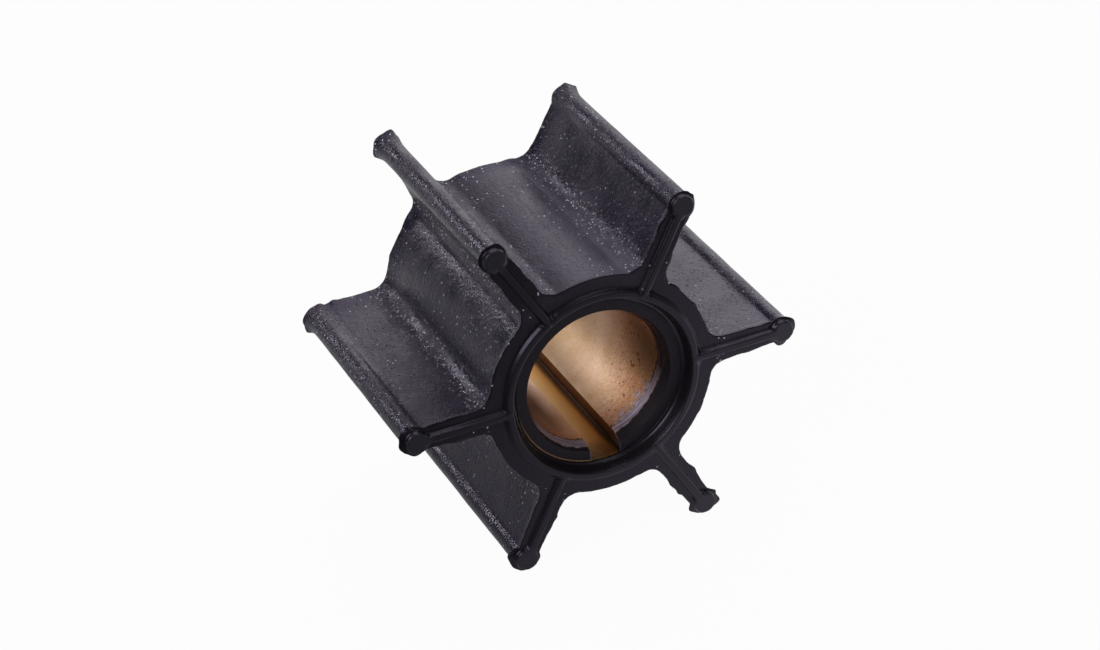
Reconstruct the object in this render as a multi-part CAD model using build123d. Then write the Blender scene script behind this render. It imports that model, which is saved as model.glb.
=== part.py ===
from build123d import *
import math
import os

# Rubber impeller for a flexible-vane water pump: a moulded rubber body on a bronze hub insert.
# Frame, in mm: the origin is on the shaft axis at mid length and the shaft axis runs along Y.
# Z is up, one vane tip points to +X, the part rests on two vane tips and the keyway faces down.

# --- driving dimensions: rubber body ---------------------------------------------------------
vane_count = 6
face_to_face = 28.4          # overall length, over the raised sealing ring of each end
seal_height = 0.5            # how far ring, ridges and bosses stand out of the end face
hub_radius = 11.6            # rubber hub between the vanes
rod_circle_radius = 19.45    # shaft axis to the centre of each tip rod
rod_radius = 1.2
vane_root_thickness = 2.36   # where the vane leaves the hub
vane_tip_thickness = 1.8     # where the vane meets its tip rod
root_fillet = 2.0
rod_fillet = 0.5
lip_growth = 0.28            # the moulded edge of each end face stands out by this much
lip_length = 0.7             # length over which that edge flares out
overlap = 0.06               # how far joined forms of the one moulding run into each other

# --- driving dimensions: raised sealing pattern ---------------------------------------------
ring_outer_radius = 10.15
ring_top_width = 0.62
ring_flank = 0.22            # slope of the ring's outer side
ridge_top_width = 0.6
ridge_flank = 0.22           # slope of each side of a ridge
boss_top_radius = 1.05
boss_flank = 0.22            # slope of a boss's side

# --- driving dimensions: bronze insert and its seat -----------------------------------------
bore_radius = 7.15           # 14.3 mm shaft
insert_wall = 1.8
insert_recess = 1.25         # insert's end face below the raised ring
insert_edge_chamfer = 0.2
mouth_chamfer_depth = 1.3    # long, shallow lead-in of the bore
mouth_chamfer_width = 0.5
recess_draft = 0.5           # the rubber recess in front of the insert widens by this much
keyway_width = 3.18
keyway_depth = 1.3
keyway_corner = 0.25

# --- dependent sizes --------------------------------------------------------------------------
body_length = face_to_face - 2 * seal_height
insert_radius = bore_radius + insert_wall
insert_length = face_to_face - 2 * insert_recess
vane_pitch = 360 / vane_count
# the end face of the rubber body and the end face of the insert, measured from mid length
end_face = body_length / 2
raised_face = face_to_face / 2
insert_face = insert_length / 2


def vane_outline(grow=0.0):
    """One vane seen along the shaft, pointing to +X, with its tip rod."""
    root = vane_root_thickness / 2 + grow
    tip = vane_tip_thickness / 2 + grow
    inner = hub_radius / 2
    heel = root + (root - tip) * (hub_radius - inner) / (rod_circle_radius - hub_radius)
    blade = make_face(Polyline((inner, -heel), (rod_circle_radius, -tip),
                               (rod_circle_radius, tip), (inner, heel), close=True))
    rod = Location((rod_circle_radius, 0)) * Circle(rod_radius + grow)
    return blade + rod


def body_outline(grow=0.0):
    """Hub and vanes seen along the shaft, with the fillets at vane roots and tip rods."""
    outline = Circle(hub_radius + grow)
    for i in range(vane_count):
        outline += Rotation(0, 0, i * vane_pitch) * vane_outline(grow)
    middle = (hub_radius + rod_circle_radius) / 2
    radius = lambda vertex: math.hypot(vertex.X, vertex.Y)
    roots = [v for v in outline.vertices() if hub_radius - root_fillet < radius(v) < middle]
    outline = fillet(roots, root_fillet - grow)
    necks = [v for v in outline.vertices()
             if rod_circle_radius - 2 * rod_radius < radius(v) < rod_circle_radius]
    return fillet(necks, rod_fillet - grow)


def trapezoid_ring(top_inner, top_outer, inner_flank, outer_flank):
    """Raised ring on the +Z end, as a revolved section that starts a little inside the body."""
    foot = end_face - overlap
    section = make_face(Polyline((top_inner + inner_flank, foot),
                                 (top_inner, raised_face), (top_outer, raised_face),
                                 (top_outer + outer_flank, end_face),
                                 (top_outer + outer_flank, foot), close=True))
    return revolve(Plane.XZ * section, Axis.Z)


def sealing_pattern():
    """The raised ridges and bosses of the +Z end; they start a little inside the body."""
    foot = end_face - overlap
    upright = (Align.CENTER, Align.CENTER, Align.MIN)
    pattern = None
    ridge_half = ridge_top_width / 2
    for i in range(vane_count):
        section = make_face(Polyline((-ridge_half - ridge_flank, end_face), (-ridge_half, raised_face),
                                     (ridge_half, raised_face), (ridge_half + ridge_flank, end_face),
                                     (ridge_half + ridge_flank, foot),
                                     (-ridge_half - ridge_flank, foot), close=True))
        inner = ring_outer_radius - ring_top_width / 2
        ridge = extrude(Plane.YZ.offset(inner) * section, rod_circle_radius - inner, dir=(1, 0, 0))
        stub = Cylinder(boss_top_radius + boss_flank, overlap, align=upright)
        cone = Cone(boss_top_radius + boss_flank, boss_top_radius, seal_height, align=upright)
        boss = Location((rod_circle_radius, 0, foot)) * (stub + Location((0, 0, overlap)) * cone)
        one = Rotation(0, 0, i * vane_pitch) * (ridge + boss)
        pattern = one if pattern is None else pattern + one
    return pattern


def rubber_impeller_body():
    """The moulding, with the shaft along Z while it is built."""
    body = extrude(body_outline(), end_face - lip_length, both=True)
    # flared moulded edge of the end faces
    lip = loft([Plane.XY.offset(-end_face) * body_outline(lip_growth),
                Plane.XY.offset(lip_length - end_face) * body_outline()], ruled=True)
    body += lip
    body += mirror(lip, Plane.XY)
    # raised sealing pattern of the end faces
    ring = trapezoid_ring(ring_outer_radius - ring_top_width, ring_outer_radius, 0, ring_flank)
    pattern = sealing_pattern() + ring
    body += pattern + mirror(pattern, Plane.XY)
    # seat of the insert, and the drafted recess in front of each of its ends
    mouth_radius = ring_outer_radius - ring_top_width
    seat = make_face(Polyline((0, -raised_face), (mouth_radius, -raised_face),
                              (mouth_radius - recess_draft, -insert_face), (insert_radius, -insert_face),
                              (insert_radius, insert_face), (mouth_radius - recess_draft, insert_face),
                              (mouth_radius, raised_face), (0, raised_face), close=True))
    return body - revolve(Plane.XZ * seat, Axis.Z)


def bronze_hub_insert():
    """The turned sleeve with its keyway, with the shaft along Z while it is built."""
    edge = insert_edge_chamfer
    mouth_radius = bore_radius + mouth_chamfer_width
    bore_edge = insert_face - mouth_chamfer_depth
    section = make_face(Polyline((bore_radius, -bore_edge), (mouth_radius, -insert_face),
                                 (insert_radius - edge, -insert_face),
                                 (insert_radius, -insert_face + edge),
                                 (insert_radius, insert_face - edge),
                                 (insert_radius - edge, insert_face),
                                 (mouth_radius, insert_face), (bore_radius, bore_edge), close=True))
    sleeve = revolve(Plane.XZ * section, Axis.Z)
    floor = bore_radius + keyway_depth
    slot = extrude(Location((0, -floor / 2)) * Rectangle(keyway_width, floor), insert_length, both=True)
    floor_edges = [e for e in slot.edges().filter_by(Axis.Z) if e.center().Y < -floor / 2]
    return sleeve - fillet(floor_edges, keyway_corner)


# The shaft axis is turned from Z to Y: the sketch plane's Y becomes the part's Z.
lay_down = Rotation(90, 0, 0)

os.makedirs("parts", exist_ok=True)
pieces = {
    "rubber_impeller_body": rubber_impeller_body(),
    "bronze_hub_insert": bronze_hub_insert(),
}
for name, shape in pieces.items():
    export_step(lay_down * shape, f"parts/{name}.step")
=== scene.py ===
import math

import bmesh
import bpy
from mathutils import Matrix, Vector, noise


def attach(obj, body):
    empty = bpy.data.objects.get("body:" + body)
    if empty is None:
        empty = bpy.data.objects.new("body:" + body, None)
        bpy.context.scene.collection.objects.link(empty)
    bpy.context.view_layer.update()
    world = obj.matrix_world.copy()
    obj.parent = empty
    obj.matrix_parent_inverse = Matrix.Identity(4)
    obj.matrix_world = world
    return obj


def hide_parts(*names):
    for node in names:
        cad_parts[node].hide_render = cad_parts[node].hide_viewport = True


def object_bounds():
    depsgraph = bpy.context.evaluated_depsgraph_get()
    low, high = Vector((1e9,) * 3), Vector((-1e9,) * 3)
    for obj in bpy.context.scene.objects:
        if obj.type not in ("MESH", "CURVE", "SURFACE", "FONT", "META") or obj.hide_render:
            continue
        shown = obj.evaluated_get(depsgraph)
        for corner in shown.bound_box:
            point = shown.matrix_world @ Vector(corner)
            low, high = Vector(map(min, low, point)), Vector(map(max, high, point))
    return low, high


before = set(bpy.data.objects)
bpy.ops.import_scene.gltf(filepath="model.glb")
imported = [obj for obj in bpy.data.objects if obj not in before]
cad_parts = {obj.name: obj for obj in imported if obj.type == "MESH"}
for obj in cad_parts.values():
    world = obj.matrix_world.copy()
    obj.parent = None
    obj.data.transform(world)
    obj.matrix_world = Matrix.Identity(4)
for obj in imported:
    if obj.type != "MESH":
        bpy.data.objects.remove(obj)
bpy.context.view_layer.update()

# ---------------------------------------------------------------------------------------------
# Hub insert. A sleeve turned from bronze bar, with a long lead-in at each mouth and one keyway
# broached through it. The rubber is moulded onto it, and has left a black skin over its mouths.
# The frame already holds its mesh, so only its finish is made here.
# ---------------------------------------------------------------------------------------------
MM = 0.001                   # sizes are given in mm and Blender works in metres
sleeve_radius = 8.95
keyway_half = 1.59           # half the width of the keyway
keyway_top = -6.97           # where its walls leave the bore


def linear(hex_code):
    """An sRGB hex colour as the linear RGBA that the shaders take."""
    parts = [int(hex_code[i:i + 2], 16) / 255 for i in (1, 3, 5)]
    return [c / 12.92 if c <= 0.04045 else ((c + 0.055) / 1.055) ** 2.4 for c in parts] + [1]


def feed(node, inputs):
    """Gives a node its inputs: a node or a socket is linked, anything else is set."""
    for name, value in inputs.items():
        if isinstance(value, bpy.types.Node):
            value = value.outputs[0]
        if isinstance(value, bpy.types.NodeSocket):
            node.id_data.links.new(value, node.inputs[name])
        else:
            node.inputs[name].default_value = value


def add(tree, kind, inputs=None, stops=(), **settings):
    """Adds a node to a material with its settings, its inputs and, on a ramp, its stops."""
    node = tree.nodes.new("ShaderNode" + kind)
    for name, value in settings.items():
        setattr(node, name, value)
    feed(node, inputs or {})
    if stops:
        elements = node.color_ramp.elements
        for element, (place, colour) in zip(elements, (stops[0], stops[-1])):
            element.position, element.color = place, colour
        for place, colour in stops[1:-1]:
            elements.new(place).color = colour
    return node


bronze = bpy.data.materials.new("turned_bronze_with_rubber_skin")
bronze.use_nodes = True
tree = bronze.node_tree
# Where on the sleeve: mm along each axis, distance from mid length and from the shaft's axis.
spot = add(tree, "TexCoord").outputs["Object"]
mm = add(tree, "VectorMath", {0: spot, "Scale": 1 / MM}, operation='SCALE')
sideways, lengthwise, upwards = add(tree, "SeparateXYZ", {0: mm}).outputs
from_middle = add(tree, "Math", {0: lengthwise}, operation='ABSOLUTE')
flat = add(tree, "CombineXYZ", {0: sideways, 2: upwards})
from_axis = add(tree, "VectorMath", {0: flat}, operation='LENGTH').outputs["Value"]
off_centre = add(tree, "Math", {0: sideways}, operation='ABSOLUTE')
in_width = add(tree, "MapRange", {"Value": off_centre, "From Min": keyway_half + 0.04,
                                  "From Max": keyway_half - 0.01})
below_bore = add(tree, "MapRange", {"Value": upwards, "From Min": keyway_top + 0.07,
                                    "From Max": keyway_top + 0.01})
keyway = add(tree, "Math", {0: in_width, 1: below_bore}, operation='MULTIPLY')
plain_wall = add(tree, "Math", {0: 1, 1: keyway}, operation='SUBTRACT')

# Bronze itself: satin and golden, with soft clouds about 3 mm across where it has dulled. The
# scale of a pattern is its waves or cells per mm.
clouds = add(tree, "TexNoise", {"Vector": mm, "Scale": 0.3, "Detail": 3})
finish = add(tree, "ValToRGB", {"Fac": clouds},
             [(0.3, linear("#dcb892")), (0.7, linear("#f6d9be"))])
# Tarnish: orange-brown, at the right of the bore towards the front, and near both mouths. Its
# grain is about 0.05 mm on such a sleeve and drawn at 0.4 mm and finer, so that it shows.
grain = add(tree, "TexNoise", {"Vector": mm, "Scale": 2.3, "Detail": 8, "Roughness": 0.8})
front_right = add(tree, "Math", {0: sideways, 1: lengthwise}, operation='SUBTRACT')
front_right = add(tree, "MapRange", {"Value": front_right, "From Min": 6.0, "From Max": 12.5,
                                     "To Max": 0.26})
near_mouth = add(tree, "MapRange", {"Value": from_middle, "From Min": 8.0, "From Max": 11.5,
                                    "To Max": 0.22})
damp = add(tree, "Math", {0: front_right, 1: near_mouth}, operation='MAXIMUM')
tarnish = add(tree, "Math", {0: grain, 1: damp}, operation='ADD')
tarnish = add(tree, "MapRange", {"Value": tarnish, "From Min": 0.6, "From Max": 0.82,
                                 "To Max": 0.85})
finish = add(tree, "MixRGB", {"Fac": tarnish, "Color1": finish, "Color2": linear("#e8b285")})
# Grit in the metal: brown grains, densest in the tarnish, also drawn coarser than they are.
grit = add(tree, "TexNoise", {"Vector": mm, "Scale": 4.5, "Detail": 2, "Roughness": 0.7})
grit = add(tree, "MapRange", {"Value": grit, "From Min": 0.42, "From Max": 0.62})
grit_density = add(tree, "MapRange", {"Value": tarnish, "To Min": 0.2, "To Max": 0.6})
grit = add(tree, "Math", {0: grit, 1: grit_density}, operation='MULTIPLY')
finish = add(tree, "MixRGB", {"Fac": grit, "Color1": finish, "Color2": linear("#a8713f")})
# Painted shade: a brown darkening on the right wall towards the front, low on the left wall, and
# deep inside the bore.
right_wall = add(tree, "MapRange", {"Value": sideways, "From Min": 5.9, "From Max": 7.1,
                                    "To Max": 0.9})
frontwards = add(tree, "MapRange", {"Value": lengthwise, "From Min": 1.0, "From Max": -8.0,
                                    "To Min": 0.05})
right_wall_shade = add(tree, "Math", {0: right_wall, 1: frontwards}, operation='MULTIPLY')
finish = add(tree, "MixRGB", {"Fac": right_wall_shade, "Color1": finish, "Color2": linear("#7d6a48")})
# Painted shade low on the left wall, less of it towards the front mouth.
left_wall = add(tree, "MapRange", {"Value": sideways, "From Min": -1.5, "From Max": -3.5,
                                   "To Max": 0.95})
low_down = add(tree, "MapRange", {"Value": upwards, "From Min": 1.5, "From Max": -2.5})
inwards = add(tree, "MapRange", {"Value": lengthwise, "From Min": -11.0, "From Max": -5.0,
                                 "To Min": 0.4})
left_wall_shade = add(tree, "Math", {0: left_wall, 1: low_down}, operation='MULTIPLY')
left_wall_shade = add(tree, "Math", {0: left_wall_shade, 1: inwards}, operation='MULTIPLY')
finish = add(tree, "MixRGB", {"Fac": left_wall_shade, "Color1": finish, "Color2": linear("#5c431f")})
# Painted shade deep inside the bore.
deep_shade = add(tree, "MapRange", {"Value": lengthwise, "From Min": -2.0, "From Max": 7.0,
                                   "To Max": 0.5})
finish = add(tree, "MixRGB", {"Fac": deep_shade, "Color1": finish, "Color2": linear("#a8834f")})
# Corrosion pits: dark brown dots up to 0.4 mm across, only in the tarnish. They are drawn about
# twice as wide as they are, so that they show.
pits = add(tree, "TexVoronoi", {"Vector": mm, "Scale": 2.2, "Randomness": 1})
pit_luck = add(tree, "SeparateXYZ", {0: pits.outputs["Color"]})
pit_size = add(tree, "MapRange", {"Value": pit_luck, "From Min": 0.35, "To Max": 0.46})
pit = add(tree, "Math", {0: pits, 1: pit_size}, operation='LESS_THAN')
pit = add(tree, "Math", {0: pit, 1: tarnish}, operation='MULTIPLY')
finish = add(tree, "MixRGB", {"Fac": pit, "Color1": finish, "Color2": linear("#4a2d18")})
# Broached keyway: yellower than the bore, with painted shade on and beside its right wall, brown
# grease at the mouths, and darker painted shade in the right corner of its floor.
broached = add(tree, "MapRange", {"Value": sideways, "From Min": -1.4, "From Max": 0.6})
broached = add(tree, "MixRGB", {"Fac": broached, "Color1": linear("#d4b483"),
                                "Color2": linear("#d2984f")})
finish = add(tree, "MixRGB", {"Fac": keyway, "Color1": finish, "Color2": broached})
keyway_wall_shade = add(tree, "MapRange", {"Value": sideways, "From Min": 0.7, "From Max": 1.5})
mouth_grease = add(tree, "MapRange", {"Value": from_middle, "From Min": 9.5, "From Max": 12.5})
mouth_grease = add(tree, "Math", {0: mouth_grease, 1: grain}, operation='MULTIPLY')
grease_and_shade = add(tree, "Math", {0: keyway_wall_shade, 1: mouth_grease}, operation='MAXIMUM')
grease_and_shade = add(tree, "Math", {0: grease_and_shade, 1: keyway}, operation='MULTIPLY', use_clamp=True)
finish = add(tree, "MixRGB", {"Fac": grease_and_shade, "Color1": finish, "Color2": linear("#605036")})
# Painted shade in the right corner of the floor, where its fillet would catch a highlight.
corner = add(tree, "MapRange", {"Value": upwards, "From Min": -8.0, "From Max": -8.2,
                                "To Max": 0.8})
corner = add(tree, "Math", {0: grease_and_shade, 1: corner}, operation='MULTIPLY')
finish = add(tree, "MixRGB", {"Fac": corner, "Color1": finish, "Color2": linear("#2a1e12")})

# Mouths: from 11 mm out the bronze ends in a ragged dark edge, then a silvery band rubbed bare,
# and from 12.3 mm the rubber skin. They are the red, blue and green of one ramp. They waver, sit
# further out at the left and further in on the worn lower right side, and spare the keyway.
ragged = add(tree, "TexNoise", {"Vector": mm, "Scale": 1.1, "Detail": 5, "Roughness": 0.7})
waver = add(tree, "Math", {0: ragged, 1: 0.9, 2: -0.45}, operation='MULTIPLY_ADD')
outwards = add(tree, "MapRange", {"Value": sideways, "From Min": -3.0, "From Max": 0.0,
                                  "To Min": -0.3, "To Max": 0.0})
worn_side = add(tree, "VectorMath", {0: mm, 1: (0.7, 0, -0.71)}, operation='DOT_PRODUCT')
worn_side = add(tree, "MapRange", {"Value": worn_side.outputs["Value"], "From Min": 5.2,
                                   "From Max": 7.0})
shift = add(tree, "Math", {0: worn_side, 1: 0.6, 2: outwards}, operation='MULTIPLY_ADD')
shift = add(tree, "Math", {0: waver, 1: shift}, operation='ADD')
reach = add(tree, "Math", {0: from_middle, 1: shift}, operation='ADD')
reach = add(tree, "Math", {0: keyway, 1: -3.0, 2: reach}, operation='MULTIPLY_ADD')
reach = add(tree, "MapRange", {"Value": reach, "From Min": 11.0, "From Max": 12.5})
bands = add(tree, "ValToRGB", {"Fac": reach},
            [(0.0, (0, 0, 0, 1)), (0.06, (1, 0, 0, 1)), (0.16, (1, 0, 0, 1)), (0.2, (0, 0, 1, 1)),
             (0.74, (0, 0, 1, 1)), (0.86, (0, 1, 0, 1)), (1.0, (0, 1, 0, 1))])
dark_edge, skinned, rubbed_band = add(tree, "SeparateColor", {0: bands}).outputs
finish = add(tree, "MixRGB", {"Fac": dark_edge, "Color1": finish, "Color2": linear("#2b2016")})
# Turning lines: 0.05 mm apart on such a sleeve, drawn 0.14 mm apart; they streak the bare band.
along_lines = add(tree, "VectorMath", {0: mm, 1: (0.15, 7, 0.15)}, operation='MULTIPLY')
lines = add(tree, "TexNoise", {"Vector": along_lines, "Scale": 1, "Detail": 3})
streaks = add(tree, "MapRange", {"Value": lines, "From Min": 0.38, "From Max": 0.58})
silver = add(tree, "MixRGB", {"Fac": streaks, "Color1": linear("#a8a2cc"),
                              "Color2": linear("#f4f0ff")})
# The shaft has rubbed bare patches inboard of the band too; high up the band is darkened by
# painted shade.
patches = add(tree, "MapRange", {"Value": from_middle, "From Min": 8.6, "From Max": 10.8,
                                 "To Max": 0.3})
patches = add(tree, "Math", {0: patches, 1: worn_side}, operation='MULTIPLY')
patches = add(tree, "Math", {0: patches, 1: ragged}, operation='ADD')
patches = add(tree, "MapRange", {"Value": patches, "From Min": 0.64, "From Max": 0.82,
                                 "To Max": 0.9})
patches = add(tree, "Math", {0: patches, 1: plain_wall}, operation='MULTIPLY')
rubbed_bare = add(tree, "Math", {0: rubbed_band, 1: patches}, operation='MAXIMUM')
band_shade = add(tree, "MapRange", {"Value": upwards, "From Min": -4.4, "From Max": -1.2,
                                "To Max": 0.93})
silver = add(tree, "MixRGB", {"Fac": band_shade, "Color1": silver, "Color2": linear("#1f1a24")})
finish = add(tree, "MixRGB", {"Fac": rubbed_bare, "Color1": finish, "Color2": silver})
# Rubber skin: black and no metal. A thin gold line stays bare at the outer edge, lower left.
outer_edge = add(tree, "MapRange", {"Value": from_axis, "From Min": sleeve_radius - 0.33,
                                    "From Max": sleeve_radius - 0.27})
lower_left = add(tree, "VectorMath", {0: mm, 1: (-0.6, 0, -0.8)}, operation='DOT_PRODUCT')
lower_left = add(tree, "MapRange", {"Value": lower_left.outputs["Value"], "From Min": 6.0,
                                    "From Max": 8.2, "To Max": 0.85})
gold_line = add(tree, "Math", {0: outer_edge, 1: lower_left}, operation='MULTIPLY')
skin = add(tree, "Math", {0: skinned, 1: gold_line}, operation='SUBTRACT', use_clamp=True)
finish = add(tree, "MixRGB", {"Fac": skin, "Color1": finish, "Color2": linear("#0f0d13")})
metal = add(tree, "Math", {0: 1, 1: skin}, operation='SUBTRACT')
# Satin all over, a little rougher in the tarnish, with the turning lines and grain in relief.
satin = add(tree, "MapRange", {"Value": tarnish, "To Min": 0.44, "To Max": 0.58})
line_relief = add(tree, "Bump", {"Height": lines, "Distance": 0.01 * MM, "Strength": 0.6})
grain_relief = add(tree, "Bump", {"Height": grain, "Normal": line_relief, "Distance": 0.09 * MM,
                                  "Strength": 0.6})
feed(tree.nodes["Principled BSDF"], {"Base Color": finish, "Metallic": metal, "Roughness": satin,
                                     "Normal": grain_relief,
                                     "Specular Tint": (1.0, 0.88, 1.1, 1)})
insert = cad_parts["bronze_hub_insert"]
insert.data.materials.clear()
insert.data.materials.append(bronze)

# ---------------------------------------------------------------------------------------------
# Rubber body. One moulding in black nitrile rubber, bonded to the insert in the mould: a hub and
# six vanes with a sealing rod along each tip, and on both end faces a raised ring with ridges
# out to the tip bosses. The mould has left ragged flash along both ends.
# ---------------------------------------------------------------------------------------------
vane_count = 6
half_pitch = math.pi / vane_count
end_face = 13.7              # flat end face, from mid length
hub_radius = 11.6
vane_root = 2.36             # thickness of a vane at the hub, and at its rod
vane_tip = 1.8
root_fillet = 2.0
rod_circle = 19.45           # radius on which the sealing rods lie
rod_radius = 1.2
rod_fillet = 0.5
seal_height = 0.5            # ring, ridges and bosses above the end face
seal_flank = 0.24            # their soft flank
ring_outer = 10.15
ring_inner = 9.53
ridge_half = 0.3             # half the width of a ridge
boss_radius = 1.05
lip_growth = 0.28            # the moulded edge flares out beyond the sides
edge_round = 0.12
ring_zone = ring_outer + 0.5 # hub and vanes lie further out than this
flank_steps = 20             # of the mesh, along a vane's flank
face_steps = 17              # of the mesh, from the outline in to the vane's centre line


def arc(centre, radius, start, stop, spacing):
    """Points of a round stretch of an outline, ends included, about spacing apart."""
    steps = max(2, math.ceil(abs(stop - start) * radius / spacing))
    return [Vector((centre.x + radius * math.cos(a), 0, centre.z + radius * math.sin(a)))
            for a in (start + (stop - start) * i / steps for i in range(steps + 1))]


def angle_of(v):
    return math.atan2(v.z, v.x)


def half_vane_outline(grow):
    """From the tip of a vane round its rod, along its flank and over the hub to mid pitch."""
    slope = (vane_tip - vane_root) / 2 / (rod_circle - hub_radius)
    lift = math.hypot(1, slope)

    def fillet_centre(middle, radius, fillet, side):
        """Centre of a fillet between the flank and a circle on the vane's centre line."""
        level = vane_root / 2 + grow - slope * hub_radius + fillet * lift
        a, b = lift * lift, slope * level - middle
        c = middle * middle + level * level - (radius + fillet) ** 2
        x = (-b + side * math.sqrt(b * b - a * c)) / a
        return Vector((x, 0, slope * x + level))

    to_flank = Vector((slope, 0, -1)) / lift
    rod_middle = Vector((rod_circle, 0, 0))
    neck_fillet, heel_fillet = rod_fillet - grow, root_fillet - grow
    neck = fillet_centre(rod_circle, rod_radius + grow, neck_fillet, -1)
    heel = fillet_centre(0, hub_radius + grow, heel_fillet, 1)
    rod = arc(rod_middle, rod_radius + grow, 0, angle_of(neck - rod_middle), 0.16)
    neck_arc = arc(neck, neck_fillet, angle_of(rod_middle - neck), angle_of(to_flank), 0.12)
    heel_arc = arc(heel, heel_fillet, angle_of(to_flank), angle_of(-heel), 0.2)
    hub = arc(Vector(), hub_radius + grow, angle_of(heel), half_pitch, 0.3)
    flank = [neck_arc[-1].lerp(heel_arc[0], i / flank_steps) for i in range(1, flank_steps)]
    return rod, neck_arc[1:] + flank, heel_arc, hub[1:]


grow = lip_growth - edge_round
rod, flank, heel, hub = half_vane_outline(grow)
# Each point has a partner further in: on the vane's centre line, then round the ring's mouth.
partners = [Vector((rod_circle + 0.45 * (p.x - rod_circle), 0, 0)) for p in rod]
line_start, line_stop = partners[-1].x, heel[0].x
partners += [Vector((line_start + (line_stop - line_start) * (i + 1) / len(flank), 0, 0))
             for i in range(len(flank))]
partners += [Vector((line_stop + (ring_inner - line_stop) * i / len(heel), 0, 0))
             for i in range(1, len(heel) + 1)]
partners += [Vector((ring_inner * math.cos(a), 0, ring_inner * math.sin(a)))
             for a in (half_pitch * (i + 1) / len(hub) for i in range(len(hub)))]

# End face: half a vane bridged in between, mirrored, spun round the axis and moved to the front.
bm = bmesh.new()
outline = [bm.verts.new(p) for p in rod + flank + heel + hub]
inner = [bm.verts.new(p) for p in partners]
chains = [bm.edges.new(pair) for chain in (outline, inner) for pair in zip(chain, chain[1:])]
bmesh.ops.bridge_loops(bm, edges=chains)
rungs = [e for e in bm.edges if e not in set(chains)]
bmesh.ops.subdivide_edges(bm, edges=rungs, cuts=face_steps - 1, use_grid_fill=True)
whole = bm.verts[:] + bm.edges[:] + bm.faces[:]
bmesh.ops.mirror(bm, geom=whole, axis='Z', merge_dist=1e-4)
whole = bm.verts[:] + bm.edges[:] + bm.faces[:]
bmesh.ops.spin(bm, geom=whole, cent=(0, 0, 0), axis=(0, 1, 0),
               angle=2 * half_pitch * (vane_count - 1), steps=vane_count - 1, use_duplicate=True)
bmesh.ops.remove_doubles(bm, verts=bm.verts, dist=1e-3)
bmesh.ops.translate(bm, verts=bm.verts, vec=(0, -end_face, 0))
open_edges = [e for e in bm.edges if e.is_boundary]
rim = [e for e in open_edges if e.verts[0].co.xz.length > ring_zone]
mouth = [e for e in open_edges if e.verts[0].co.xz.length <= ring_zone]


def outline_key(co):
    """Key of a point of the outline, the same along the whole length."""
    return (round(co.x, 3), round(co.z, 3))


# Outward direction at each point of the outline, square to the line between its neighbours.
outward = {}
for v in {v for e in rim for v in e.verts}:
    a, b = [e.other_vert(v).co for e in v.link_edges if e.is_boundary]
    n = Vector(((b - a).z, 0, -(b - a).x)).normalized()
    inside = sum((f.calc_center_median() for f in v.link_faces), Vector()) / len(v.link_faces)
    outward[outline_key(v.co)] = n if n.dot(v.co - inside) > 0 else -n


def draw_on(loop, place):
    """Extrudes a loop of edges, puts each new vertex where place says, returns the new loop."""
    made = bmesh.ops.extrude_edge_only(bm, edges=loop)["geom"]
    fresh = {g for g in made if isinstance(g, bmesh.types.BMVert)}
    for v in fresh:
        v.co = place(v.co)
    return [g for g in made
            if isinstance(g, bmesh.types.BMEdge) and all(v in fresh for v in g.verts)]


# Side walls: the outline drawn in to mid length, in short steps where the flash will be.
lip_depths = [0.03, 0.07, 0.12, 0.2, 0.3, 0.42, 0.55, 0.7, 0.85, 1.1, 1.5, 2.0]
wall_depths = [2.0 + (end_face - 2.0) * i / 12 for i in range(1, 13)]
for depth in lip_depths + wall_depths:
    rim = draw_on(rim, lambda co: Vector((co.x, -end_face + depth, co.z)))
# Drafted recess and the seat of the insert, as radius and place along the axis. The rubber creeps
# raggedly over the insert's edge, less so at the lower left.
mouth_steps = [(ring_inner - 0.02, -14.17), (ring_inner - 0.06, -14.1), (9.3, -13.65),
               (9.16, -13.28), (9.08, -13.08), (8.98, -13.0), (8.8, -12.97), (8.78, -12.9),
               (sleeve_radius, -12.8), (sleeve_radius, 0)]
least_creep = Vector((-0.6, -0.8))


def mouth_point(co, radius, y):
    around = co.xz.normalized()
    creep = 0
    if radius < sleeve_radius:
        bare = min(max(around.dot(least_creep) * 1.6 - 0.5, 0), 1)
        creep = 0.06 * noise.noise(Vector((around.x, y, around.y)) * 6) + 0.13 * bare
    return Vector((around.x * (radius + creep), y, around.y * (radius + creep)))


for radius, y in mouth_steps:
    mouth = draw_on(mouth, lambda co: mouth_point(co, radius, y))


def smooth_fall(distance, top, flank):
    """1 on a raised form's flat top, 0 beyond its soft flank."""
    t = min(max((distance - top) / flank, 0), 1)
    return 1 - t * t * (3 - 2 * t)


def seal_relief(co):
    """Height of the raised seal pattern at a point of the end face."""
    radius = co.xz.length
    turn = math.atan2(co.z, co.x)
    off = turn - round(turn / (2 * half_pitch)) * 2 * half_pitch
    along, across = radius * math.cos(off), radius * math.sin(off)
    ring = smooth_fall(radius, ring_outer, seal_flank)
    ridge = smooth_fall(abs(across), ridge_half, seal_flank) if along < rod_circle else 0
    boss = smooth_fall(math.hypot(along - rod_circle, across), boss_radius, seal_flank)
    return seal_height * max(ring, ridge, boss)


for v in bm.verts:
    on_end_face = abs(v.co.y + end_face) < 1e-6 and v.co.xz.length > ring_inner - 1e-3
    if on_end_face and outline_key(v.co) not in outward:
        v.co.y -= seal_relief(v.co)
whole = bm.verts[:] + bm.edges[:] + bm.faces[:]
bmesh.ops.mirror(bm, geom=whole, axis='Y', merge_dist=1e-4)

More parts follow.
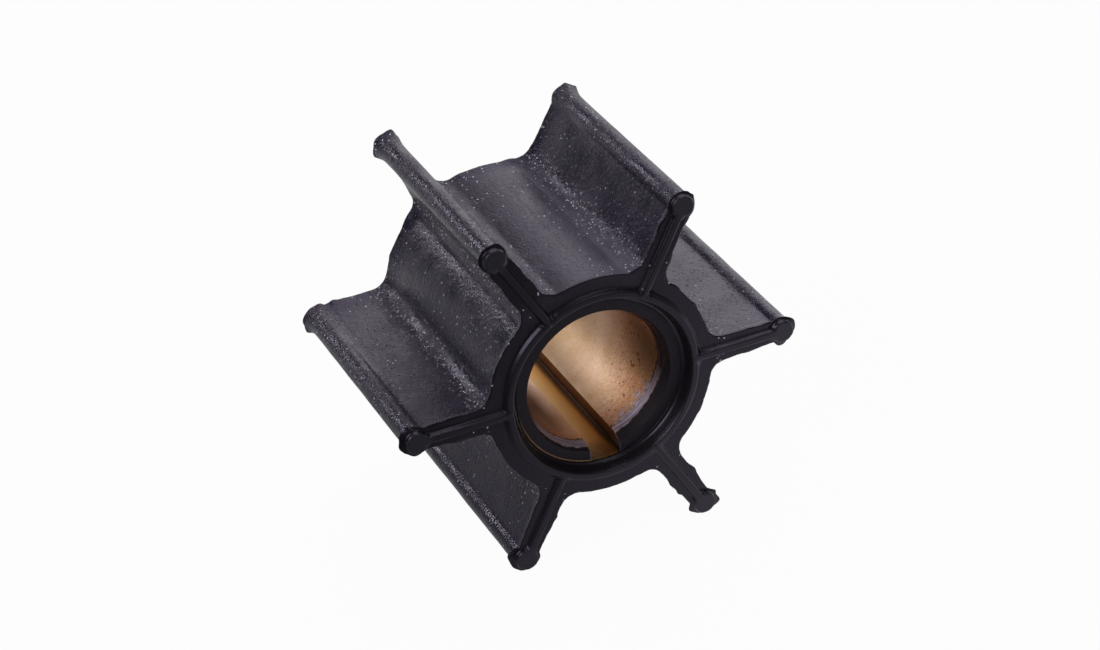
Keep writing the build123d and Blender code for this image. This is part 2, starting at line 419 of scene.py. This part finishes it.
# Torn corners of the flash, for each end and each vane's direction in degrees: place along and
# across that vane, how far the corner stands out (a dent is less than 0), and how wide it is.
torn_corners = {
    ("front", 0): [(19.3, -1.5, 0.38, 0.9), (20.7, -0.9, 0.16, 0.4)],
    ("front", 60): [(20.75, -0.7, 0.2, 0.4)],
    ("front", 120): [(20.5, -1.0, 0.3, 1.2), (20.7, 0.6, 0.22, 1.2)],
    ("front", 180): [(20.35, -1.45, 0.95, 1.25), (21.0, 0.1, 0.3, 1.6), (19.7, 1.5, 0.2, 0.9)],
    ("front", 240): [(19.55, -1.5, 0.85, 1.1), (20.7, -1.0, 0.3, 0.8), (14.6, 1.25, 0.22, 0.5),
                     (12.2, 2.2, 0.12, 0.6), (20.2, 1.4, 0.12, 0.7)],
    ("front", 300): [(20.45, 1.05, 0.45, 0.7), (19.5, 1.5, 0.36, 0.55), (19.2, -1.5, 0.4, 0.6),
                     (15.5, 1.25, 0.32, 0.8), (16.5, -1.2, 0.34, 0.7)],
    ("rear", 0): [(20.3, 1.2, 0.3, 0.8)],
    ("rear", 60): [(20.75, 0.55, 0.22, 0.35), (20.75, -0.6, 0.16, 0.35), (12.2, 2.3, 0.5, 2.4)],
    ("rear", 120): [(20.4, -1.1, 0.45, 0.7), (19.6, 1.45, 0.3, 0.9), (20.9, 0.5, 0.2, 0.8),
                    (16.2, 1.3, -0.28, 3.2), (12.3, 2.7, 0.5, 2.4)],
    ("rear", 180): [(19.0, -1.5, 0.3, 0.6), (20.4, 1.0, 0.35, 0.7), (20.9, 0.0, 0.2, 0.9),
                    (17.6, -1.1, 0.2, 0.6)],
    ("rear", 240): [(20.4, 1.1, 0.3, 0.6)],
    ("rear", 300): [(19.6, -1.5, 0.35, 0.7)],
}
tears = {"front": [], "rear": []}
for (end, direction), corners in torn_corners.items():
    u = Vector((math.cos(math.radians(direction)), math.sin(math.radians(direction))))
    for along, across, reach, width in corners:
        tears[end].append((u * along + Vector((-u.y, u.x)) * across, reach, width))
# How the flash fades along the sides: share of its raggedness, length and power of the flare,
# and length of a tear. The rear edge flares out more gently.
flash_fade = {"front": (1.0, 0.85, 1.5, 0.6), "rear": (0.6, 2.6, 2, 1.6)}
seed_offset = {"front": 0, "rear": 40}

# Flash swells by up to 0.36 mm every few mm and is nicked by 0.05 mm in between; the walls behind
# it wave by 0.03 mm, as pressed rubber does.
for v in bm.verts:
    n = outward.get(outline_key(v.co))
    if n is None or v.co.xz.length < ring_zone:
        continue
    end = "front" if v.co.y < 0 else "rear"
    depth = end_face - abs(v.co.y)
    seed = Vector((v.co.x, seed_offset[end], v.co.z))
    ragged = max(0, noise.noise(seed * 0.55)) * 0.36 + noise.noise(seed * 2.3) * 0.05
    torn = sum(reach * max(0, 1 - (v.co.xz - spot).length / width) ** 1.2
               for spot, reach, width in tears[end])
    ragged_share, length, power, tear_length = flash_fade[end]
    flare = (lip_growth + ragged_share * ragged) * max(0, 1 - depth / length) ** power
    flare += torn * max(0, 1 - depth / tear_length) ** 2
    rounding = edge_round - math.sqrt(max(0, edge_round ** 2 - max(0, edge_round - depth) ** 2))
    wavy = 0.03 * noise.noise(v.co * 0.3) + 0.012 * noise.noise(v.co * 1.3)
    v.co += n * (flare + wavy - rounding - grow)
bmesh.ops.recalc_face_normals(bm, faces=bm.faces)
bmesh.ops.scale(bm, verts=bm.verts, vec=(MM, MM, MM))
body_mesh = bpy.data.meshes.new("impeller_rubber")
bm.to_mesh(body_mesh)
bm.free()
body_mesh.polygons.foreach_set("use_smooth", [True] * len(body_mesh.polygons))
rubber_body = bpy.data.objects.new("impeller_rubber", body_mesh)
bpy.context.collection.objects.link(rubber_body)


def grey(value):
    """A plain number as the colour of a ramp's stop."""
    return (value, value, value, 1)


rubber = bpy.data.materials.new("moulded_nitrile_rubber")
rubber.use_nodes = True
tree = rubber.node_tree
# Where on the body: the side walls have the mould's texture, the end faces are nearly plain.
spot = add(tree, "TexCoord").outputs["Object"]
mm = add(tree, "VectorMath", {0: spot, "Scale": 1 / MM}, operation='SCALE')
sideways, lengthwise, upwards = add(tree, "SeparateXYZ", {0: mm}).outputs
from_middle = add(tree, "Math", {0: lengthwise}, operation='ABSOLUTE')
flat = add(tree, "CombineXYZ", {0: sideways, 2: upwards})
from_axis = add(tree, "VectorMath", {0: flat}, operation='LENGTH').outputs["Value"]
inboard = add(tree, "MapRange", {"Value": from_middle, "From Min": end_face + 0.02,
                                 "From Max": end_face - 0.1})
outboard = add(tree, "MapRange", {"Value": from_axis, "From Min": 10.0, "From Max": 10.5})
side_wall = add(tree, "Math", {0: inboard, 1: outboard}, operation='MULTIPLY')
# From hub (0) to tip of a rod (1), so that texture and painted glints follow fillets, flanks and
# rods.
up_the_vane = add(tree, "MapRange", {"Value": from_axis, "From Min": 11.5, "From Max": 21.5})
# Mould texture: sparks etched the steel, so the rubber has a fine tooth and scattered beads that
# catch the light, strongest in the root fillets and on the rods. They are about 0.05 mm on such
# a moulding and drawn at 0.1 to 0.2 mm, so that they show.
patchy = add(tree, "TexNoise", {"Vector": mm, "Scale": 0.22, "Detail": 2})
patches = add(tree, "MapRange", {"Value": patchy, "From Min": 0.4, "From Max": 0.6,
                                 "To Min": 0.45, "To Max": 1.0})
texture = add(tree, "Math", {0: side_wall, 1: patches}, operation='MULTIPLY')
texture = add(tree, "MapRange", {"Value": texture, "To Min": 0.06, "To Max": 1.0})
tooth = add(tree, "ValToRGB", {"Fac": up_the_vane},
            [(0.0, grey(0.35)), (0.06, grey(1)), (0.16, grey(1)), (0.25, grey(0.4)),
             (0.66, grey(0.4)), (0.74, grey(0.9)), (1.0, grey(0.9))])
cells = add(tree, "TexVoronoi", {"Vector": mm, "Scale": 3.8, "Randomness": 1})
bead_luck, sparkle_luck, sparkle_tone = add(tree, "SeparateXYZ", {0: cells.outputs["Color"]}).outputs
domes = add(tree, "MapRange", {"Value": cells, "From Min": 0.42, "From Max": 0.0},
            interpolation_type='SMOOTHSTEP')
chance = add(tree, "MapRange", {"Value": bead_luck, "From Min": 0.4, "From Max": 0.95})
beads = add(tree, "Math", {0: domes, 1: chance}, operation='MULTIPLY')
fine = add(tree, "TexNoise", {"Vector": mm, "Scale": 2.4, "Detail": 4, "Roughness": 0.6})
bead_height = add(tree, "Math", {0: beads, 1: tooth}, operation='MULTIPLY')
fine_height = add(tree, "Math", {0: fine, 1: tooth}, operation='MULTIPLY')
bead_relief = add(tree, "Bump", {"Height": bead_height, "Strength": texture,
                                 "Distance": 0.2 * MM})
fine_relief = add(tree, "Bump", {"Height": fine_height, "Strength": texture,
                                 "Distance": 0.2 * MM, "Normal": bead_relief})
# Compound: carbon black, with a purple-grey bloom in patches on the sides. The end faces are
# plain black, with a painted highlight that greys the tops of the ring, ridges and bosses, most
# on the bosses.
bloom = add(tree, "TexNoise", {"Vector": mm, "Scale": 0.45, "Detail": 5, "Roughness": 0.65})
side_tone = add(tree, "ValToRGB", {"Fac": bloom},
                [(0.32, linear("#0e0c19")), (0.52, linear("#191429")), (0.72, linear("#2c1f28"))])
seal_top = add(tree, "MapRange", {"Value": from_middle, "From Min": end_face + 0.28,
                                  "From Max": end_face + 0.46})
on_boss = add(tree, "MapRange", {"Value": from_axis, "From Min": 17.6, "From Max": 18.6,
                                 "To Min": 0.3, "To Max": 1.0})
rubbed = add(tree, "Math", {0: seal_top, 1: on_boss}, operation='MULTIPLY')
end_tone = add(tree, "MixRGB", {"Fac": rubbed, "Color1": linear("#101013"),
                                "Color2": linear("#2c2c31")})
compound = add(tree, "MixRGB", {"Fac": side_wall, "Color1": end_tone, "Color2": side_tone})
# Painted light: a paler grey on the hub between the two upper vanes, strongest towards the front
# mouth, where that hub mirrors the vane beside it.
upper = add(tree, "MapRange", {"Value": upwards, "From Min": 8.8, "From Max": 9.8})
on_hub = add(tree, "MapRange", {"Value": from_axis, "From Min": 13.2, "From Max": 12.3})
upper_hub = add(tree, "Math", {0: upper, 1: on_hub}, operation='MULTIPLY')
upper_hub = add(tree, "Math", {0: upper_hub, 1: side_wall}, operation='MULTIPLY')
frontwards = add(tree, "MapRange", {"Value": lengthwise, "From Min": 6.0, "From Max": -12.0,
                                    "To Min": 0.2, "To Max": 1.0})
hub_painted_light = add(tree, "Math", {0: upper_hub, 1: frontwards}, operation='MULTIPLY')
hub_painted_light = add(tree, "Math", {0: hub_painted_light, 1: patches}, operation='MULTIPLY')
compound = add(tree, "MixRGB", {"Fac": hub_painted_light, "Color1": compound, "Color2": linear("#4c4653")})
# Parting line: where the mould's halves met, a thin dark reddish groove wanders along that hub.
wander = add(tree, "Math", {0: bloom, 1: 0.9, 2: -0.05}, operation='MULTIPLY_ADD')
off_line = add(tree, "Math", {0: sideways, 1: wander}, operation='SUBTRACT')
off_line = add(tree, "Math", {0: off_line}, operation='ABSOLUTE')
on_line = add(tree, "MapRange", {"Value": off_line, "From Min": 0.3, "From Max": 0.05})
on_top = add(tree, "MapRange", {"Value": upwards, "From Min": 11.3, "From Max": 11.5})
mid_length = add(tree, "MapRange", {"Value": from_middle, "From Min": 13.0, "From Max": 6.0})
groove = add(tree, "Math", {0: on_line, 1: on_top}, operation='MULTIPLY')
groove = add(tree, "Math", {0: groove, 1: mid_length}, operation='MULTIPLY')
groove = add(tree, "Math", {0: groove, 1: fine}, operation='MULTIPLY')
compound = add(tree, "MixRGB", {"Fac": groove, "Color1": compound, "Color2": linear("#140a0c")})
groove_relief = add(tree, "Bump", {"Height": groove, "Normal": fine_relief,
                                   "Distance": 0.06 * MM, "Strength": 0.7}, invert=True)
# Painted glints: pale flecks set in the texture where it should sparkle, thick in the root
# fillets and thinner on rods and flanks. They are drawn as flecks of 0.15 mm so that they show.
sparkle_share = add(tree, "ValToRGB", {"Fac": up_the_vane},
           [(0.0, grey(0.03)), (0.06, grey(0.78)), (0.16, grey(0.78)), (0.25, grey(0.1)),
            (0.7, grey(0.08)), (0.8, grey(0.24)), (1.0, grey(0.28))])
sparkle_share = add(tree, "Math", {0: sparkle_share, 1: texture}, operation='MULTIPLY')
sparkle_share = add(tree, "Math", {0: sparkle_share, 1: 0.7, 2: -1.03}, operation='MULTIPLY_ADD')
sparkle_here = add(tree, "Math", {0: sparkle_luck, 1: sparkle_share}, operation='ADD')
sparkle_here = add(tree, "Math", {0: sparkle_here, 1: 0.0}, operation='GREATER_THAN')
painted_sparkles = add(tree, "MapRange", {"Value": cells, "From Min": 0.38, "From Max": 0.24})
painted_sparkles = add(tree, "Math", {0: painted_sparkles, 1: sparkle_here}, operation='MULTIPLY')
sparkle_brightness = add(tree, "MapRange", {"Value": sparkle_tone, "To Min": 0.15, "To Max": 1.1})
painted_sparkles = add(tree, "Math", {0: painted_sparkles, 1: sparkle_brightness}, operation='MULTIPLY')
compound = add(tree, "MixRGB", {"Fac": painted_sparkles, "Color1": compound, "Color2": linear("#f1eefa")})
# Gloss: a waxy sheen that varies with the tooth, duller on the hub between the two upper vanes
# and where handled, and sharper on the beads. Reflections off the carbon black are tinted violet.
handled = add(tree, "MapRange", {"Value": patchy, "From Min": 0.35, "From Max": 0.65,
                                 "To Min": -0.05, "To Max": 0.05})
roughness = add(tree, "MapRange", {"Value": fine, "From Min": 0.3, "From Max": 0.7,
                                   "To Min": 0.25, "To Max": 0.35})
roughness = add(tree, "Math", {0: roughness, 1: handled}, operation='ADD')
roughness = add(tree, "Math", {0: upper_hub, 1: 0.12, 2: roughness}, operation='MULTIPLY_ADD')
glints = add(tree, "Math", {0: beads, 1: texture}, operation='MULTIPLY')
roughness = add(tree, "Math", {0: glints, 1: -0.16, 2: roughness}, operation='MULTIPLY_ADD')
feed(tree.nodes["Principled BSDF"], {
    "Base Color": compound, "Roughness": roughness, "Normal": groove_relief, "IOR": 1.5,
    "Specular Tint": (0.99, 0.84, 1.18, 1), "Sheen Weight": 0.05, "Sheen Roughness": 0.35,
    "Sheen Tint": linear("#d9d5de")})
body_mesh.materials.append(rubber)
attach(rubber_body, "root")
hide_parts("rubber_impeller_body")

# ---------------------------------------------------------------------------------------------
# Studio. The part lies on a sheet of white paper under four soft lamps. The camera sees paper and
# room as white; the part mirrors a painted glowing patch of paper beside it and a room lit from
# one side.
# ---------------------------------------------------------------------------------------------
scene = bpy.context.scene
scene.view_settings.view_transform = 'Standard'
floor_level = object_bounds()[0][2]
bm = bmesh.new()
bmesh.ops.create_grid(bm, x_segments=1, y_segments=1, size=1.5)
bmesh.ops.translate(bm, verts=bm.verts, vec=(0, 0, floor_level))
floor_mesh = bpy.data.meshes.new("floor")
bm.to_mesh(floor_mesh)
bm.free()
floor = bpy.data.objects.new("floor", floor_mesh)
bpy.context.collection.objects.link(floor)

# Matt white paper. To the camera nearly all of it glows white, and the rest keeps the part's
# shadow. What the part mirrors of it is a painted glow, which fades from 50 to 150 mm round a
# patch beside the part and is brighter behind the part than in front.
paper = bpy.data.materials.new("matt_white_paper")
paper.use_nodes = True
tree = paper.node_tree
matt = tree.nodes["Principled BSDF"]
feed(matt, {"Base Color": linear("#cfcfcf"), "Roughness": 0.9})
rays = add(tree, "LightPath")
spot = add(tree, "TexCoord").outputs["Object"]
glow_patch = add(tree, "VectorMath", {0: spot, 1: (0.09, 0.03, floor_level)}, operation='DISTANCE')
mirrored_glow = add(tree, "MapRange", {"Value": glow_patch.outputs["Value"], "From Min": 0.15,
                             "From Max": 0.05}, interpolation_type='SMOOTHSTEP')
glow_behind = add(tree, "SeparateXYZ", {0: spot}).outputs[1]
glow_behind = add(tree, "MapRange", {"Value": glow_behind, "From Min": -0.02, "From Max": 0.06,
                                "To Min": 0.05, "To Max": 0.65})
mirrored_glow = add(tree, "Math", {0: mirrored_glow, 1: glow_behind}, operation='MAXIMUM')
mirrored_glow = add(tree, "Math", {0: mirrored_glow, 1: rays.outputs["Is Camera Ray"]}, operation='MAXIMUM')
glow = add(tree, "Emission", {"Color": (1, 1, 1, 1), "Strength": mirrored_glow})
shown = add(tree, "Math", {0: rays.outputs["Is Camera Ray"], 1: 0.965}, operation='MULTIPLY')
shown = add(tree, "Math", {0: shown, 1: rays.outputs["Is Glossy Ray"]}, operation='MAXIMUM')
shown = add(tree, "Math", {0: shown, 1: rays.outputs["Is Transmission Ray"]},
            operation='MAXIMUM')
surface = add(tree, "MixShader", {0: shown, 1: matt, 2: glow})
feed(tree.nodes["Material Output"], {"Surface": surface})
floor_mesh.materials.append(paper)

# The room is white to the camera. The part is lit by a bright window high up behind it at the
# right, by the pale wall under the window, and faintly from all round.
world = bpy.data.worlds.new("studio")
scene.world = world
world.use_nodes = True
tree = world.node_tree
ways = add(tree, "TexCoord").outputs["Generated"]
window = add(tree, "VectorMath", {0: ways, 1: (0.52, 0.73, 0.44)}, operation='DOT_PRODUCT')
window = add(tree, "MapRange", {"Value": window.outputs["Value"], "From Min": 0.84,
                                "From Max": 1.0, "To Min": 0.1, "To Max": 1.75},
             interpolation_type='SMOOTHSTEP')
rear_wall = add(tree, "SeparateXYZ", {0: ways}).outputs[1]
rear_wall = add(tree, "MapRange", {"Value": rear_wall, "From Max": 0.7, "To Min": 0.06,
                                   "To Max": 0.11})
right_wall = add(tree, "VectorMath", {0: ways, 1: (0.8, 0.6, 0.0)}, operation='DOT_PRODUCT')
right_wall = add(tree, "MapRange", {"Value": right_wall.outputs["Value"], "From Min": 0.7},
                 interpolation_type='SMOOTHSTEP')
room = add(tree, "Math", {0: window, 1: right_wall}, operation='MAXIMUM')
room = add(tree, "Math", {0: room, 1: rear_wall}, operation='MAXIMUM')
rays = add(tree, "LightPath")
white = add(tree, "Math", {0: rays.outputs["Is Camera Ray"],
                           1: rays.outputs["Is Transmission Ray"]}, operation='MAXIMUM')
room = add(tree, "Math", {0: white, 1: room}, operation='MAXIMUM')
feed(tree.nodes["Background"], {"Color": (1, 1, 1, 1), "Strength": room})


def softbox(name, place, size, power):
    """A square lamp, turned to the middle of the part."""
    lamp = bpy.data.lights.new(name, 'AREA')
    lamp.size = size
    lamp.energy = power
    stand = bpy.data.objects.new(name, lamp)
    stand.location = place
    stand.rotation_euler = (-Vector(place)).to_track_quat('-Z', 'Y').to_euler()
    bpy.context.collection.objects.link(stand)


# name, place and width in metres, power in watts
softbox("rear_softbox", (-0.14, 0.31, 0.141), 0.05, 0.19)
softbox("left_softbox", (-0.245, -0.12, 0.217), 0.2, 0.37)
softbox("front_softbox", (0.11, -0.25, 0.22), 0.12, 0.06)
softbox("top_softbox", (0.08, 0.08, 0.35), 0.30, 0.42)

# A long lens at 0.31 m, from above the front left, so that it looks down into the bore.
camera_data = bpy.data.cameras.new("camera")
camera_data.sensor_width = 36
camera_data.lens = 102.44
camera_data.clip_start = 0.01
camera = bpy.data.objects.new("camera", camera_data)
azimuth, elevation, roll = math.radians(-20.96), math.radians(30.24), math.radians(-5.71)
distance = 0.31357
aim = Vector((0.38, -0.24, -0.16)) * MM
forward = Vector((-math.sin(azimuth) * math.cos(elevation),
                  math.cos(azimuth) * math.cos(elevation), -math.sin(elevation)))
turn = forward.to_track_quat('-Z', 'Y').to_matrix().to_4x4()
camera.matrix_world = (Matrix.Translation(aim - forward * distance) @ turn
                       @ Matrix.Rotation(roll, 4, 'Z'))
bpy.context.collection.objects.link(camera)
scene.camera = camera
